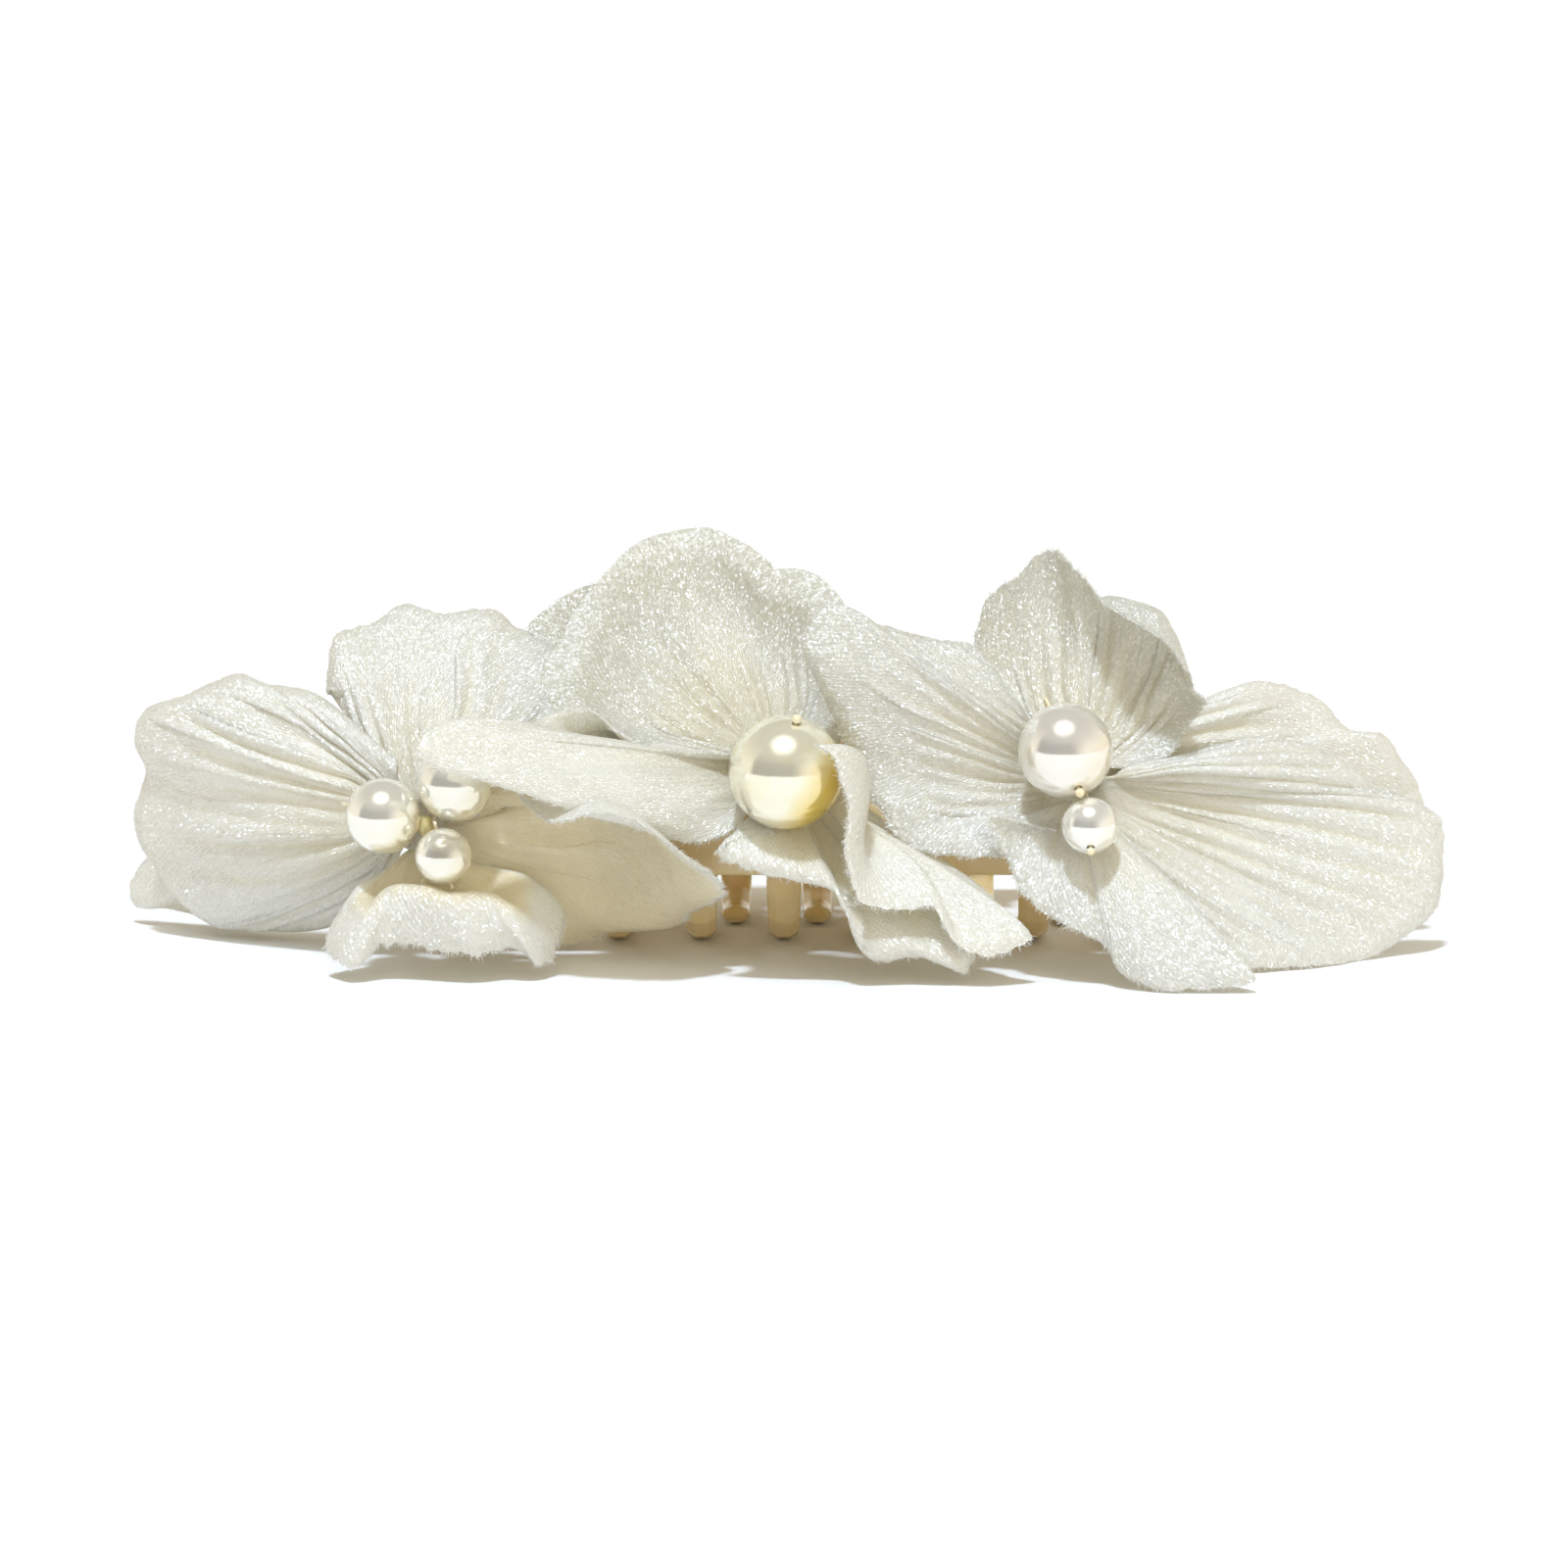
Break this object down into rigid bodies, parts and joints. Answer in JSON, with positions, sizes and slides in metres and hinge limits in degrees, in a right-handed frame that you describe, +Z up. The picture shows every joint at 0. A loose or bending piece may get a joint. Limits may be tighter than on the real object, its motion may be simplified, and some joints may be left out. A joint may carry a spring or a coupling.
{
  "type": "flower hair clip",
  "caption": "Sprung claw hair clip with interlocking curved teeth and two finger levers, its front jaw covered by velvet orchid flowers with pearl bead centres.",
  "frame": {"origin": "under the middle of the whole object's bounding box, at the surface the clip stands on", "axes": "+X along the claw, -Y to the flower side, +Z up from the teeth to the finger levers"},
  "size_m": [0.1433, 0.0531, 0.0451],
  "materials": {
    "claw_plastic": "glossy, slightly see-through ivory",
    "steel": "bright drawn wire",
    "velvet": "pressed velvet with a fine glint",
    "felt": "matt felt",
    "pearl": "pearlescent lacquer",
    "hot_glue": "clear amber hot glue",
    "wire": "thin bright wire"
  },
  "bodies": {
    "front": {"center_felt_disc": "felt", "center_glue_pad": "hot_glue", "center_pearl": "pearl", "center_petal_back": "velvet", "center_petal_bottom": "velvet", "center_petal_channel": "velvet", "center_petal_left": "velvet", "center_petal_top": "velvet", "center_stem": "wire", "front_jaw": "claw_plastic", "hinge_pin": "steel", "left_felt_disc": "felt", "left_glue_pad": "hot_glue", "left_pearl_lower": "pearl", "left_pearl_side": "pearl", "left_pearl_upper": "pearl", "left_petal_bottom": "velvet", "left_petal_right": "velvet", "left_petal_side": "velvet", "left_petal_top": "velvet", "left_petal_under": "velvet", "left_stem_lower": "wire", "left_stem_side": "wire", "left_stem_upper": "wire", "right_felt_disc": "felt", "right_glue_pad": "hot_glue", "right_pearl_large": "pearl", "right_pearl_small": "pearl", "right_petal_bottom": "velvet", "right_petal_left": "velvet", "right_petal_side": "velvet", "right_petal_top": "velvet", "right_petal_upper": "velvet", "right_stem_large": "wire", "right_stem_small": "wire", "torsion_spring": "steel"},
    "rear": {"rear_jaw": "claw_plastic"}
  },
  "joints": [
    {"name": "jaw_hinge", "type": "hinge", "parent": "front", "child": "rear", "pos_m": [0.00185, 0.01, 0.0225], "axis": [1, 0, 0], "range_deg": [0, 60], "stiffness_Nm_per_rad": 0.06, "springref_deg": -48.7, "deforming": ["torsion_spring"]}
  ]
}
